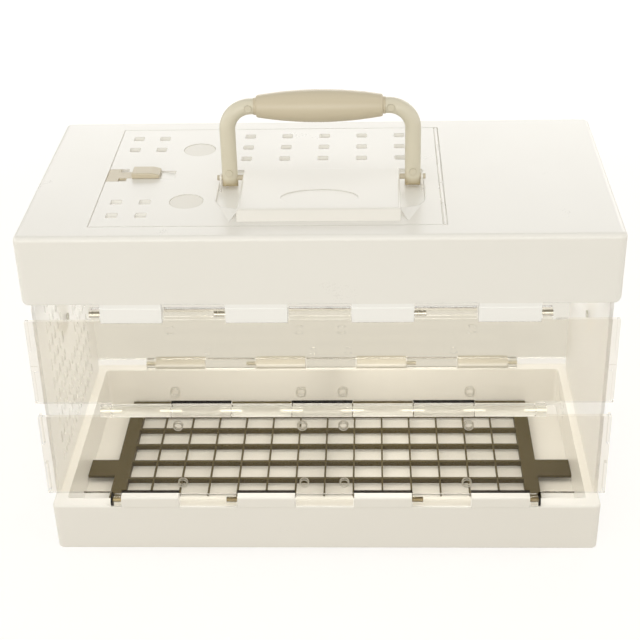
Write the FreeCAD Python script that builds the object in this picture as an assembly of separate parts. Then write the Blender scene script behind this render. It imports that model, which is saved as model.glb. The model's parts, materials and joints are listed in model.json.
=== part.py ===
"""Folding bird carrier: tray, four clear wall leaves, two end panels, cover, lid and carrying handle.

Millimetres. X runs along the carrier, Y from front to back, Z up. The origin is under the middle of the tray.
"""
import FreeCAD
import Part

import math
import os

# Overall sizes
LENGTH = 360.0
DEPTH = 180.0
HEIGHT = 231.0
COVER_HEIGHT = 45.0
TRAY_HEIGHT = 34.8

# Moulded shells of the cover and the tray
COVER_WALL = 2.5
COVER_CORNER = 4.0
COVER_TOP_ROUND = 3.0
COVER_FOOT_ROUND = 5.0
COVER_DRAFT = 0.3
TRAY_WALL = 2.5
TRAY_FLOOR = 2.5
TRAY_RIM = 8.8
TRAY_INSET = 1.0
TRAY_DRAFT = 0.4
TRAY_ROUND = 1.2

# Clear leaves of the front and back walls, and their hinges
SHEET = 2.4
SHEET_CORNER = 1.0
LEAF_PAST_END = 1.0
KNUCKLE_R = 4.3
KNUCKLE_W = 38.0
KNUCKLE_END = 7.0
KNUCKLE_GAP = 0.6
TAB_ROUND = 1.2
TAB_DROP = 2.2
HINGE_INSET = 0.1
HINGE_DROP = 4.7
PIN_R = 1.5
PIN_L = 14.0
LEAF_RING_R = 3.25
LEAF_RING_BORE_R = 2.3
LEAF_RING_H = 0.5
LEAF_RING_FROM_HINGE = 12.6
LEAF_RING_X = (-92.0, -13.0, 13.0, 92.0)
LIP_T = 1.6
LOWER_LIP = 3.5
UPPER_LIP = 1.0
LIP_BREAK = 15.0
CATCH_W = 4.4
CATCH_H = 4.0
CATCH_T = 0.8

# End panels, their straps and hinges
END_SHEET = 2.2
END_HINGE_R = 2.6
END_PIN_R = 1.2
END_FOOT_GAP = 2.4
END_SIDE_GAP = 4.9
END_CORNER = 5.0
STRAP_W = 24.0
STRAP_T = 1.8
STRAP_L = 68.0
END_LUG_W = 19.4
END_KNUCKLE_W = 27.4
RIVET_R = 1.6
RIVET_HEAD_R = 2.8
RIVET_HEAD_H = 0.9
RIVET_PITCH = 30.0
RIVET_FROM_END = 12.0
SLOT_W = 4.0
SLOT_L = 9.0
SLOT_PITCH_Y = 9.0
SLOT_PITCH_Z = 14.0
SLOT_MARGIN_Y = 18.0
SLOT_MARGIN_Z = 14.0

# Lid in the cover's top, from near the cover's left end to just past the handle's right well
LID_FREE_FROM_END = 43.0
LID_PAST_WELL = 10.8
LID_EDGE = 14.9
LID_GAP = 0.6
LID_T = 2.5
LID_LEDGE = 3.0
LID_LEDGE_T = 2.3
LID_RIB_T = 2.0
LID_RIB_H = 4.0
LID_RIB_GAP = 1.3
LID_HINGE_R = 1.2
LID_HINGE_CLEAR = 0.35
LID_PIN_R = 0.6
LID_PIN_END = 1.0
LID_KNUCKLES = 5
VENT = 7.0
VENT_ROUND = 1.2
VENT_PITCH_X = 25.0
VENT_PITCH_Y = 18.9
VENT_COLUMNS = 5
VENT_ROWS = 3
VENT_FROM_BACK = 12.7
SIDE_VENT_FROM_FREE = 11.6
SIDE_VENT_PITCH = 17.7
SIDE_VENT_FROM_EDGE = 15.2
PORT_R = 10.5
PORT_SEAT = 2.0
PORT_DEPTH = 1.5
PORT_FROM_WELL = 18.1
PORT_FROM_EDGE = 34.7
PORT_RECESS = 0.2
PORT_ROUND = 0.5
PORT_SPIGOT = 1.0

# Raised block in front of the handle, with a well beside it for each leg
BLOCK_GAP = 3.4
BLOCK_H = 7.0
BLOCK_BACK_Y = -5.0
BLOCK_FROM_FRONT = 5.2
BLOCK_SLOPE = 3.0
BLOCK_BACK_SLOPE = 2.0
BLOCK_WALL = 2.5
BLOCK_ROUND = 1.5
BADGE_HALF_X = 23.5
BADGE_HALF_Y = 12.1
BADGE_DEPTH = 0.5
BADGE_MARGIN = 3.5
WELL_DROP = 2.1
WELL_FLOOR = 2.0
WELL_BACK = 20.5
WELL_SIDE = 27.0
WELL_TURN_X = 4.0
WELL_TURN_Y = 8.0
WELL_FRONT = 43.0
WELL_CORNER = 3.0
PROW_H = 3.0
PROW_OUT = 4.5

# Carrying handle and its pivots
HANDLE_Y = -14.0
HANDLE_PIVOT_H = 4.0
HANDLE_HALF = 57.2
HANDLE_R = 4.9
HANDLE_RISE = 47.3
HANDLE_BEND = 15.0
HANDLE_TAIL = 5.5
GRIP_HALF = 38.7
GRIP_END_R = 6.7
GRIP_MID_R = 10.0
GRIP_ROUND = 1.2
GRIP_COLLAR_L = 1.6
GRIP_COLLAR_R = 5.25
GRIP_SCREW_GAP = 3.2
SCREW_HEAD_R = 2.3
SCREW_HEAD_H = 1.2
SCREW_PROUD = 0.5
SCREW_R = 1.2
SCREW_FROM_PIN = 0.9
SCREW_END = 1.0
PIVOT_R = 1.7
PIVOT_SEAT = 2.0
PIVOT_PROUD = 1.6
BRACKET_T = 1.2
BRACKET_R = 2.6
BRACKET_FOOT = 9.0
BRACKET_FOOT_T = 1.6
BRACKET_GAP = 0.5

# Sliding latch at the lid's free edge
LATCH_HEAD_W = 18.5
LATCH_HEAD_L = 7.4
LATCH_NECK_W = 9.2
LATCH_NECK_L = 8.6
LATCH_KNOB_W = 12.0
LATCH_KNOB_L = 17.8
LATCH_KNOB_H = 3.6
LATCH_KNOB_FALL = 1.2
LATCH_KNOB_SLOPE = 5.0
LATCH_KNOB_ROUND = 0.9
LATCH_T = 1.4
LATCH_TRAVEL = 5.0
LATCH_STEM_W = 5.0
LATCH_STEM_L = 8.0
LATCH_FLOOR = 2.0
LATCH_KEEPER_T = 1.5
LATCH_KEEPER_LAP = 3.0
SCOOP_L = 9.5
SCOOP_W = 12.0
SCOOP_START = 0.3
SCOOP_DEPTH = 1.8

# Loose grate on the tray's floor
GRATE_H = 3.8
GRATE_LIFT = 1.75
GRATE_BAR = 2.2
GRATE_CROSS = 1.2
GRATE_CROSS_H = 2.0
GRATE_SIDE = 10.1
GRATE_EDGE = 2.0
GRATE_PITCH_X = 20.1
GRATE_PITCH_Y = 20.5
GRATE_TAB_L = 21.35
GRATE_TAB_W = 19.0
GRATE_TAB_FORWARD = 8.0
GRATE_LEFTWARD = 2.3

# Clearances, how far a cut reaches past the face it opens, and how far a fused piece reaches into its carrier
MOVE_CLEAR = 0.3
RUN_CLEAR = 0.05
SEAT_CLEAR = 0.02
SHEET_CLEAR = 0.3
EDGE_CLEAR = 0.7
OVERCUT = 1.0
EMBED = 1.0
SAME = 0.001

# Places worked out from the sizes above
HALF_X = LENGTH / 2
HALF_Y = DEPTH / 2
LEAF_HALF = HALF_X + LEAF_PAST_END
COVER_Z = HEIGHT - COVER_HEIGHT
HINGE_Y = HALF_Y - KNUCKLE_R - HINGE_INSET
LOW_Z = TRAY_HEIGHT + MOVE_CLEAR + SHEET_CLEAR + SHEET
TOP_Z = COVER_Z - HINGE_DROP - KNUCKLE_R
MID_Z = (LOW_Z + TOP_Z) / 2
SHEET_OUT = HINGE_Y - SHEET_CLEAR
SHEET_IN = SHEET_OUT - SHEET
SHEET_GAP = KNUCKLE_R + EDGE_CLEAR
CAVITY_X = HALF_X - TRAY_INSET - TRAY_RIM
CAVITY_Y = HALF_Y - TRAY_INSET - TRAY_RIM
END_HINGE_Z = COVER_Z - END_HINGE_R - 2 * SEAT_CLEAR - MOVE_CLEAR
END_HINGE_X = HALF_X - END_HINGE_R - HINGE_INSET
END_OUT = END_HINGE_X
END_IN = END_OUT - END_SHEET
END_HALF = SHEET_IN - END_SIDE_GAP
END_LOW = TRAY_HEIGHT + END_FOOT_GAP
END_HIGH = END_HINGE_Z - END_HINGE_R - EDGE_CLEAR
STRAP_LOW = END_HINGE_Z - STRAP_L
LID_FREE_X = -HALF_X + LID_FREE_FROM_END
LID_HALF_Y = HALF_Y - LID_EDGE
BLOCK_HALF = HANDLE_HALF - HANDLE_R - BLOCK_GAP
BRACKET_IN = HANDLE_HALF + HANDLE_R + MOVE_CLEAR
BRACKET_OUT = BRACKET_IN + BRACKET_T
WELL_OUT = BRACKET_OUT + BRACKET_GAP
LID_HINGE_X = WELL_OUT + LID_PAST_WELL
LID_UNDER = HEIGHT - LID_T
LID_HINGE_Z = HEIGHT - LID_HINGE_R
LID_HINGE_GAP = LID_HINGE_R + LID_HINGE_CLEAR
LID_END_X = LID_HINGE_X - LID_HINGE_GAP
LID_RIB_IN = LID_LEDGE + LID_RIB_GAP
PORT_X = -WELL_OUT - PORT_FROM_WELL
PORT_Y = LID_HALF_Y - PORT_FROM_EDGE
BLOCK_FRONT_Y = -(LID_HALF_Y - BLOCK_FROM_FRONT)
BLOCK_TOP = HEIGHT + BLOCK_H
WELL_Z = HEIGHT - WELL_DROP
PIVOT_Z = HEIGHT + HANDLE_PIVOT_H
GRIP_Z = PIVOT_Z + HANDLE_RISE
LATCH_Z = HEIGHT - LATCH_T
LATCH_POCKET_Z = LATCH_Z - MOVE_CLEAR
LATCH_BOSS_Z = LATCH_POCKET_Z - LATCH_FLOOR
LATCH_KNOB_X = LID_FREE_X + LATCH_HEAD_L + LATCH_NECK_L
LATCH_END_X = LATCH_KNOB_X + LATCH_KNOB_L
LATCH_STEM_X = (LATCH_KNOB_X + LATCH_END_X) / 2

X_AXIS = FreeCAD.Vector(1, 0, 0)
Y_AXIS = FreeCAD.Vector(0, 1, 0)
Z_AXIS = FreeCAD.Vector(0, 0, 1)
FRONT, BACK = -1, 1
LEFT, RIGHT = -1, 1


def span_about(middle, width):
    """A width centred on a place."""
    return (middle - width / 2, middle + width / 2)


def half_span(width, grow):
    """A width centred on zero, grown on both sides."""
    return (-width / 2 - grow, width / 2 + grow)


# Knuckle zones along a wall: the moulded tabs, and the leaf's own knuckles between and beside them
TAB_ZONES = [span_about(n * KNUCKLE_W, KNUCKLE_W) for n in (-3, -1, 1, 3)]
GAP_ZONES = [span_about(n * KNUCKLE_W, KNUCKLE_W) for n in (-2, 0, 2)]
TAB_REACH = TAB_ZONES[-1][1]
SHORT_ZONES = [(-TAB_REACH - KNUCKLE_END, -TAB_REACH), (TAB_REACH, TAB_REACH + KNUCKLE_END)]
LEAF_ZONES = GAP_ZONES + SHORT_ZONES
OUTER_JOINS = [-TAB_REACH, -1.5 * KNUCKLE_W, 1.5 * KNUCKLE_W, TAB_REACH]
MIDDLE_JOINS = OUTER_JOINS + [-2.5 * KNUCKLE_W, -KNUCKLE_W / 2, KNUCKLE_W / 2, 2.5 * KNUCKLE_W]


def box(x, y, z):
    """Box between two values on each axis, given in either order."""
    low = FreeCAD.Vector(min(x), min(y), min(z))
    return Part.makeBox(abs(x[1] - x[0]), abs(y[1] - y[0]), abs(z[1] - z[0]), low)


def rod_x(radius, x, y, z):
    return Part.makeCylinder(radius, abs(x[1] - x[0]), FreeCAD.Vector(min(x), y, z), X_AXIS)


def rod_y(radius, x, y, z):
    return Part.makeCylinder(radius, abs(y[1] - y[0]), FreeCAD.Vector(x, min(y), z), Y_AXIS)


def rod_z(radius, x, y, z):
    return Part.makeCylinder(radius, abs(z[1] - z[0]), FreeCAD.Vector(x, y, min(z)), Z_AXIS)


def joined(solids):
    return solids[0].multiFuse(solids[1:]).removeSplitter()


def prism(points, z):
    """Straight prism over a plan outline."""
    corners = [FreeCAD.Vector(px, py, z[0]) for px, py in points]
    face = Part.Face(Part.makePolygon(corners + corners[:1]))
    return face.extrude(FreeCAD.Vector(0, 0, z[1] - z[0]))


def side_prism_x(points, x):
    """Straight bar along X over an outline of Y and Z places."""
    corners = [FreeCAD.Vector(x[0], py, pz) for py, pz in points]
    face = Part.Face(Part.makePolygon(corners + corners[:1]))
    return face.extrude(FreeCAD.Vector(x[1] - x[0], 0, 0))


def side_prism_y(points, y):
    """Straight bar along Y over an outline of X and Z places."""
    corners = [FreeCAD.Vector(px, y[0], pz) for px, pz in points]
    face = Part.Face(Part.makePolygon(corners + corners[:1]))
    return face.extrude(FreeCAD.Vector(0, y[1] - y[0], 0))


def round_plan(half_x, half_y, corner, z):
    """Wire of a rectangle with round corners, centred on the Z axis."""
    inner_x = half_x - corner
    inner_y = half_y - corner
    diagonal = corner * math.sqrt(0.5)
    edges = []
    for sx, sy in ((1, 1), (-1, 1), (-1, -1), (1, -1)):
        on_x = FreeCAD.Vector(sx * half_x, sy * inner_y, z)
        on_y = FreeCAD.Vector(sx * inner_x, sy * half_y, z)
        middle = FreeCAD.Vector(sx * (inner_x + diagonal), sy * (inner_y + diagonal), z)
        ends = (on_x, on_y) if sx == sy else (on_y, on_x)
        edges.append((ends, middle))
    wire = []
    for n, (ends, middle) in enumerate(edges):
        following = edges[(n + 1) % len(edges)][0]
        wire.append(Part.Arc(ends[0], middle, ends[1]).toShape())
        wire.append(Part.LineSegment(ends[1], following[0]).toShape())
    return Part.Wire(wire)


def round_block(low, high, corner, z):
    """Block with round upright corners that widens from its low plan to its high plan."""
    wires = [round_plan(low[0], low[1], corner, z[0]), round_plan(high[0], high[1], corner, z[1])]
    return Part.makeLoft(wires, True, True)


def edges_along(shape, axis):
    """Straight edges that run along an axis."""
    found = []
    for edge in shape.Edges:
        if isinstance(edge.Curve, Part.Line):
            direction = edge.tangentAt(edge.FirstParameter)
            if abs(direction.dot(axis)) > 1 - SAME:
                found.append(edge)
    return found


def edges_at_height(shape, z):
    return [edge for edge in shape.Edges if all(abs(v.Z - z) < SAME for v in edge.Vertexes)]


def trimmed(zone):
    """A knuckle zone less the running gap at both sides."""
    return (zone[0] + KNUCKLE_GAP / 2, zone[1] - KNUCKLE_GAP / 2)


def tab(side, zone, axis_z, z):
    """Moulded hinge tab: a round knuckle whose outer half has a flat front between two heights."""
    span = trimmed(zone)
    outer = HINGE_Y + KNUCKLE_R
    front = box(span, (side * HINGE_Y, side * outer), z)
    rims = [edge for edge in edges_along(front, X_AXIS) if abs(abs(edge.Vertexes[0].Y) - outer) < SAME]
    return [rod_x(KNUCKLE_R, span, side * HINGE_Y, axis_z), front.makeFillet(TAB_ROUND, rims)]


def pin_bores(side, joins, z, clearance):
    """Blind bores for the short pins that cross each join between two knuckles."""
    bores = []
    for join in joins:
        span = span_about(join, PIN_L + 2 * RUN_CLEAR)
        bores.append(rod_x(PIN_R + clearance, span, side * HINGE_Y, z))
    return bores


def wall_pins(side, joins, z):
    pins = [rod_x(PIN_R, span_about(join, PIN_L), side * HINGE_Y, z) for join in joins]
    return Part.makeCompound(pins)


def tray():
    """Shallow tray with a hollow rim that carries the lower hinges."""
    top = (HALF_X - TRAY_INSET, HALF_Y - TRAY_INSET)
    foot = (top[0] - TRAY_DRAFT, top[1] - TRAY_DRAFT)
    body = round_block(foot, top, COVER_CORNER, (0, TRAY_HEIGHT))
    body = body.makeFillet(TRAY_ROUND, edges_at_height(body, 0) + edges_at_height(body, TRAY_HEIGHT))
    cavity = box((-CAVITY_X, CAVITY_X), (-CAVITY_Y, CAVITY_Y), (TRAY_FLOOR, TRAY_HEIGHT + OVERCUT))
    cavity = cavity.makeFillet(TRAY_WALL, edges_along(cavity, Z_AXIS))
    hollow_foot = (foot[0] - TRAY_WALL, foot[1] - TRAY_WALL)
    hollow_top = (top[0] - TRAY_WALL, top[1] - TRAY_WALL)
    hollow_z = (-OVERCUT, TRAY_HEIGHT - 2 * TRAY_WALL)
    hollow = round_block(hollow_foot, hollow_top, COVER_CORNER - TRAY_WALL, hollow_z)
    core_x = half_span(2 * CAVITY_X, TRAY_WALL)
    core_y = half_span(2 * CAVITY_Y, TRAY_WALL)
    core = box(core_x, core_y, (-2 * OVERCUT, TRAY_HEIGHT))
    body = body.cut(cavity).cut(hollow.cut(core))
    tabs = []
    rooms = []
    for side in (FRONT, BACK):
        y = side * HINGE_Y
        for zone in TAB_ZONES:
            tabs += tab(side, zone, LOW_Z, span_about(LOW_Z, 2 * KNUCKLE_R))
            tabs.append(box(trimmed(zone), (y, side * SHEET_OUT), (TRAY_HEIGHT - EMBED, LOW_Z)))
        for zone in LEAF_ZONES:
            rooms.append(rod_x(KNUCKLE_R + KNUCKLE_GAP, zone, y, LOW_Z))
    body = body.cut(rooms)
    body = joined([body] + tabs)
    for side in (FRONT, BACK):
        body = body.cut(pin_bores(side, OUTER_JOINS, LOW_Z, RUN_CLEAR))
    return body


def grate():
    """Flat grate of crossing bars on two broad feet, with a tab at each end."""
    half_y = CAVITY_Y - GRATE_EDGE
    half_x = CAVITY_X - GRATE_TAB_L
    middle = -GRATE_LEFTWARD
    bar_low = TRAY_FLOOR + GRATE_LIFT
    high = bar_low + GRATE_H
    cross_low = high - GRATE_CROSS_H
    bars = []
    for side in (LEFT, RIGHT):
        frame_end = middle + side * half_x
        bars.append(box((frame_end - side * GRATE_SIDE, frame_end), (-half_y, half_y), (TRAY_FLOOR, high)))
        tab_end = side * (CAVITY_X - MOVE_CLEAR)
        bars.append(box((frame_end, tab_end), span_about(-GRATE_TAB_FORWARD, GRATE_TAB_W), (cross_low, high)))
    long_count = int((half_y - GRATE_BAR) // GRATE_PITCH_Y)
    long_rows = [n * GRATE_PITCH_Y for n in range(-long_count, long_count + 1)]
    long_rows += [-half_y + GRATE_BAR / 2, half_y - GRATE_BAR / 2]
    for y in long_rows:
        bars.append(box((middle - half_x, middle + half_x), span_about(y, GRATE_BAR), (bar_low, high)))
    cross_count = int((half_x - GRATE_SIDE) // GRATE_PITCH_X)
    for n in range(-cross_count, cross_count + 1):
        across = span_about(middle + n * GRATE_PITCH_X, GRATE_CROSS)
        bars.append(box(across, (-half_y, half_y), (cross_low, high)))
    return joined(bars)


def leaf(side, low, high, low_zones, high_zones, lip):
    """One clear wall leaf between two hinge lines: knuckles, moulding rings and broken end lips."""
    inner = side * SHEET_IN
    outer = side * SHEET_OUT
    sheet_z = (low + SHEET_GAP, high - SHEET_GAP)
    sheet = box((-LEAF_HALF, LEAF_HALF), (inner, outer), sheet_z)
    solids = [sheet.makeFillet(SHEET_CORNER, edges_along(sheet, Y_AXIS))]
    web = SHEET_GAP + EMBED
    for z, zones, web_end in ((low, low_zones, low + web), (high, high_zones, high - web)):
        for zone in zones:
            solids.append(rod_x(KNUCKLE_R, trimmed(zone), side * HINGE_Y, z))
            solids.append(box(trimmed(zone), (inner, outer), (z, web_end)))
    rings = []
    ring_y = (inner, inner - side * LEAF_RING_H)
    for x in LEAF_RING_X:
        for z in (low + LEAF_RING_FROM_HINGE, high - LEAF_RING_FROM_HINGE):
            ring = rod_y(LEAF_RING_R, x, (ring_y[0] + side * SHEET / 2, ring_y[1]), z)
            rings.append(ring.cut(rod_y(LEAF_RING_BORE_R, x, ring_y, z)))
    lip_y = (inner + side * SHEET / 2, inner - side * lip)
    break_low, break_high = span_about((low + high) / 2, LIP_BREAK)
    for end in (LEFT, RIGHT):
        lip_x = (end * (LEAF_HALF - LIP_T), end * LEAF_HALF)
        rings.append(box(lip_x, lip_y, (sheet_z[0] + SHEET_CORNER, break_low)))
        rings.append(box(lip_x, lip_y, (break_high, sheet_z[1] - SHEET_CORNER)))
    return joined(solids + rings)


def lower_leaf(side):
    shape = leaf(side, LOW_Z, MID_Z, LEAF_ZONES, LEAF_ZONES, LOWER_LIP)
    low_bores = pin_bores(side, OUTER_JOINS, LOW_Z, SEAT_CLEAR)
    return shape.cut(low_bores + pin_bores(side, MIDDLE_JOINS, MID_Z, RUN_CLEAR))


def catches(side):
    """Small stops on the inner face of an upper leaf, in the break of its end lips."""
    low = (MID_Z + TOP_Z) / 2 - LIP_BREAK / 2
    y = (side * (SHEET_IN + SHEET / 2), side * (SHEET_IN - CATCH_T))
    stops = []
    for end in (LEFT, RIGHT):
        x = (end * (LEAF_HALF - CATCH_W), end * LEAF_HALF)
        stops.append(box(x, y, (low, low + CATCH_H)))
    return stops


def upper_leaf(side):
    shape = leaf(side, MID_Z, TOP_Z, TAB_ZONES, LEAF_ZONES, UPPER_LIP)
    shape = joined([shape] + catches(side))
    low_bores = pin_bores(side, MIDDLE_JOINS, MID_Z, SEAT_CLEAR)
    return shape.cut(low_bores + pin_bores(side, OUTER_JOINS, TOP_Z, SEAT_CLEAR))


def end_lug_zones():
    """Spans along Y of the cover's lugs and of the end panel's own knuckles, on both sides of the strap."""
    lug_start = STRAP_W / 2 + KNUCKLE_GAP
    knuckle_start = lug_start + END_LUG_W + KNUCKLE_GAP
    lug = (lug_start, lug_start + END_LUG_W)
    knuckle = (knuckle_start, knuckle_start + END_KNUCKLE_W)
    return [lug, (-lug[1], -lug[0])], [knuckle, (-knuckle[1], -knuckle[0])]


def lid_opening(margin, z):
    """Block of the lid's opening, grown by a margin on the three free sides."""
    x = (LID_FREE_X - margin, LID_HINGE_X + LID_HINGE_GAP)
    return box(x, half_span(2 * LID_HALF_Y, margin), z)


def lid_knuckle_spans(first):
    """Every other knuckle along the lid's hinge line."""
    step = 2 * LID_HALF_Y / LID_KNUCKLES
    starts = [-LID_HALF_Y + n * step for n in range(first, LID_KNUCKLES, 2)]
    return [trimmed((start, start + step)) for start in starts]


def lid_ledge():
    """Ledge round the lid's opening that the lid's edges lie on, left open at the hinge."""
    high = LID_UNDER - MOVE_CLEAR
    low = high - LID_LEDGE_T
    ledge = lid_opening(LID_LEDGE, (low, LID_UNDER))
    inside = lid_opening(-LID_LEDGE, (low - OVERCUT, HEIGHT))
    above = lid_opening(LID_GAP, (high, HEIGHT))
    room_x = (LID_END_X, LID_HINGE_X + LID_HINGE_GAP + OVERCUT)
    hinge_room = box(room_x, half_span(2 * LID_HALF_Y, OVERCUT), (low - OVERCUT, LID_UNDER))
    return ledge.cut([inside, above, hinge_room])


def cover_corner_cuts():
    """Cuts that round the cover's lower corners, seen from the front."""
    cuts = []
    z = COVER_Z + COVER_FOOT_ROUND
    for side in (LEFT, RIGHT):
        middle = side * (HALF_X - COVER_FOOT_ROUND)
        corner_x = (middle, side * (HALF_X + OVERCUT))
        corner = box(corner_x, half_span(DEPTH, OVERCUT), (COVER_Z - OVERCUT, z))
        cuts.append(corner.cut(rod_y(COVER_FOOT_ROUND, middle, half_span(DEPTH, OVERCUT), z)))
    return cuts


def cover():
    """Deep cover with the lid's opening and ledge, and hinge tabs along all four lower edges."""
    low = (HALF_X - COVER_DRAFT, HALF_Y - COVER_DRAFT)
    body = round_block(low, (HALF_X, HALF_Y), COVER_CORNER, (COVER_Z, HEIGHT))
    body = body.makeFillet(COVER_TOP_ROUND, edges_at_height(body, HEIGHT))
    room_low = (low[0] - COVER_WALL, low[1] - COVER_WALL)
    room_high = (HALF_X - COVER_WALL - COVER_DRAFT / 2, HALF_Y - COVER_WALL - COVER_DRAFT / 2)
    room = round_block(room_low, room_high, COVER_CORNER - COVER_WALL, (COVER_Z - SAME, LID_UNDER))
    opening = lid_opening(LID_GAP, (LID_UNDER - OVERCUT, HEIGHT + OVERCUT))
    body = body.cut([room, opening] + cover_corner_cuts())
    solids = [body, lid_ledge()]
    web_z = COVER_Z + COVER_WALL
    for side in (FRONT, BACK):
        web_y = (side * room_low[1], side * low[1])
        for zone in TAB_ZONES:
            solids += tab(side, zone, TOP_Z, (TOP_Z - KNUCKLE_R, COVER_Z - TAB_DROP))
            solids.append(box(trimmed(zone), web_y, (TOP_Z, web_z)))
    lugs, knuckles = end_lug_zones()
    for side in (LEFT, RIGHT):
        web_x = (side * room_low[0], side * low[0])
        for lug in lugs:
            solids.append(rod_y(END_HINGE_R, side * END_HINGE_X, lug, END_HINGE_Z))
            solids.append(box(web_x, lug, (END_HINGE_Z, COVER_Z + COVER_FOOT_ROUND + EMBED)))
    for span in lid_knuckle_spans(1):
        solids.append(rod_y(LID_HINGE_R, LID_HINGE_X, span, LID_HINGE_Z))
        web_end = LID_HINGE_X + LID_HINGE_GAP + EMBED
        solids.append(box((LID_HINGE_X, web_end), span, (LID_UNDER, LID_HINGE_Z)))
    body = joined(solids)
    bores = [rod_y(LID_PIN_R + RUN_CLEAR, LID_HINGE_X, (-LID_HALF_Y, LID_HALF_Y), LID_HINGE_Z)]
    reach = half_span(2 * knuckles[0][1], OVERCUT)
    for side in (LEFT, RIGHT):
        bores.append(rod_y(END_PIN_R + RUN_CLEAR, side * END_HINGE_X, reach, END_HINGE_Z))
    for side in (FRONT, BACK):
        bores += pin_bores(side, OUTER_JOINS, TOP_Z, RUN_CLEAR)
    return body.cut(bores)


def slot(x, y, z):
    """Upright slot with round ends, cut through an end panel."""
    reach = (SLOT_L - SLOT_W) / 2
    straight = box(x, span_about(y, SLOT_W), (z - reach, z + reach))
    return joined([straight, rod_x(SLOT_W / 2, x, y, z - reach), rod_x(SLOT_W / 2, x, y, z + reach)])


def rivet_heights():
    return [STRAP_LOW + RIVET_FROM_END, STRAP_LOW + RIVET_FROM_END + RIVET_PITCH]


def vent_slots(side):
    """Rows of air slots over an end panel, left out under the strap."""
    x = (side * (END_IN - OVERCUT), side * (END_OUT + OVERCUT))
    columns = int((END_HALF - SLOT_MARGIN_Y) // SLOT_PITCH_Y)
    rows = int((END_HIGH - END_LOW - 2 * SLOT_MARGIN_Z) // SLOT_PITCH_Z)
    first = (END_LOW + END_HIGH - rows * SLOT_PITCH_Z) / 2
    slots = []
    for row in range(rows + 1):
        z = first + row * SLOT_PITCH_Z
        for column in range(-columns, columns + 1):
            y = column * SLOT_PITCH_Y
            under_strap = z > STRAP_LOW - SLOT_L and abs(y) < STRAP_W / 2 + SLOT_W
            if not under_strap:
                slots.append(slot(x, y, z))
    return slots


def end_panel(side, vented):
    """Clear end panel that hangs from the cover."""
    x = (side * END_IN, side * END_OUT)
    sheet = box(x, (-END_HALF, END_HALF), (END_LOW, END_HIGH))
    solids = [sheet.makeFillet(END_CORNER, edges_along(sheet, X_AXIS))]
    knuckles = end_lug_zones()[1]
    for knuckle in knuckles:
        solids.append(rod_y(END_HINGE_R, side * END_HINGE_X, knuckle, END_HINGE_Z))
        solids.append(box(x, knuckle, (END_HIGH - 2 * END_SHEET, END_HINGE_Z)))
    body = joined(solids)
    cuts = []
    for knuckle in knuckles:
        cuts.append(rod_y(END_PIN_R + SEAT_CLEAR, side * END_HINGE_X, knuckle, END_HINGE_Z))
    for z in rivet_heights():
        cuts.append(rod_x(RIVET_R + SEAT_CLEAR, x, 0, z))
    if vented:
        cuts += vent_slots(side)
    return body.cut(Part.makeCompound(cuts))


def end_strap(side):
    """Strap with a round end that runs down the outside of an end panel from its hinge."""
    x = (side * END_OUT, side * (END_OUT + STRAP_T))
    half = STRAP_W / 2
    plate = box(x, (-half, half), (STRAP_LOW + half, END_HINGE_Z))
    tip = rod_x(half, x, 0, STRAP_LOW + half)
    barrel = rod_y(END_HINGE_R, side * END_HINGE_X, (-half, half), END_HINGE_Z)
    body = joined([plate, tip, barrel])
    room = box((side * END_IN, side * END_OUT), (-END_HALF, END_HALF), (END_LOW, END_HIGH))
    cuts = [rod_y(END_PIN_R + SEAT_CLEAR, side * END_HINGE_X, (-half, half), END_HINGE_Z), room]
    for z in rivet_heights():
        cuts.append(rod_x(RIVET_R + SEAT_CLEAR, x, 0, z))
    return body.cut(cuts)


def end_pin(side):
    reach = end_lug_zones()[1][0][1]
    return rod_y(END_PIN_R, side * END_HINGE_X, (-reach, reach), END_HINGE_Z)


def strap_rivets(side):
    """Two rivets through the strap and the end panel, with a head on each face."""
    rivets = []
    inside = (side * (END_IN - RIVET_HEAD_H), side * END_IN)
    outside = (side * (END_OUT + STRAP_T), side * (END_OUT + STRAP_T + RIVET_HEAD_H))
    for z in rivet_heights():
        shank = rod_x(RIVET_R, (inside[0], outside[1]), 0, z)
        rivets.append(joined([shank, rod_x(RIVET_HEAD_R, inside, 0, z), rod_x(RIVET_HEAD_R, outside, 0, z)]))
    return Part.makeCompound(rivets)


def vent(x, y):
    """Square air hole through the lid."""
    hole = box(span_about(x, VENT), span_about(y, VENT), (LID_UNDER - OVERCUT, HEIGHT + OVERCUT))
    return hole.makeFillet(VENT_ROUND, edges_along(hole, Z_AXIS))


def lid_vents():
    """Air holes of the lid: a field behind the handle and a group of four at each free corner."""
    holes = []
    for row in range(VENT_ROWS):
        for column in range(VENT_COLUMNS):
            x = (column - (VENT_COLUMNS - 1) / 2) * VENT_PITCH_X
            holes.append(vent(x, LID_HALF_Y - VENT_FROM_BACK - row * VENT_PITCH_Y))
    for side in (FRONT, BACK):
        for row in range(2):
            y = side * (LID_HALF_Y - SIDE_VENT_FROM_EDGE - row * VENT_PITCH_Y)
            for column in range(2):
                holes.append(vent(LID_FREE_X + SIDE_VENT_FROM_FREE + column * SIDE_VENT_PITCH, y))
    return holes


def well_plan(side, grow):
    """Plan of the well beside the block: straight at the back and outside, slanting in at the front."""
    inner = side * (BLOCK_HALF - 2 * grow)
    outer = side * (WELL_OUT + grow)
    back = HANDLE_Y + WELL_BACK + grow
    turn = HANDLE_Y - WELL_SIDE - grow
    slant = (side * (WELL_OUT - WELL_TURN_X + grow), turn - WELL_TURN_Y)
    return [(inner, back), (outer, back), (outer, turn), slant, (inner, HANDLE_Y - WELL_FRONT - grow)]


def well(side):
    """Room of a well, with its outer corners rounded."""
    room = prism(well_plan(side, 0), (WELL_Z, BLOCK_TOP + OVERCUT))
    corners = [edge for edge in edges_along(room, Z_AXIS) if abs(edge.Vertexes[0].X) > BLOCK_HALF + SAME]
    return room.makeFillet(WELL_CORNER, corners)


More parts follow.
